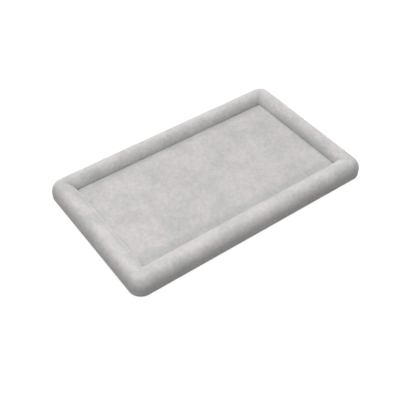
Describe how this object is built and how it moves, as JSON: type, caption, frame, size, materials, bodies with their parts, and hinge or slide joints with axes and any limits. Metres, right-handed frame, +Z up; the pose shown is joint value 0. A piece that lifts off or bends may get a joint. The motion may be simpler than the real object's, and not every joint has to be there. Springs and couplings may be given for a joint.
{
  "type": "display tray",
  "caption": "Low rectangular display tray for jewellery, covered in suede, with a padded half-round rim and a wrapped floor pad.",
  "frame": {"origin": "middle of the tray, on the surface that it stands on", "axes": "+X along the long side to the right, +Y to the back, +Z up"},
  "size_m": [0.2, 0.12, 0.015],
  "materials": {
    "suede": "matte",
    "felt": "matte",
    "sponge": "matte",
    "fibreboard": "matte",
    "greyboard": "matte"
  },
  "bodies": {
    "root": {"bottom_lining": "felt", "base_board": "greyboard", "rim_rail_front": "fibreboard", "rim_rail_back": "fibreboard", "rim_rail_left": "fibreboard", "rim_rail_right": "fibreboard", "rim_foam_front": "sponge", "rim_foam_back": "sponge", "rim_foam_left": "sponge", "rim_foam_right": "sponge", "rim_cover": "suede", "floor_board": "greyboard", "floor_foam": "sponge", "floor_cover": "suede"}
  },
  "joints": []
}
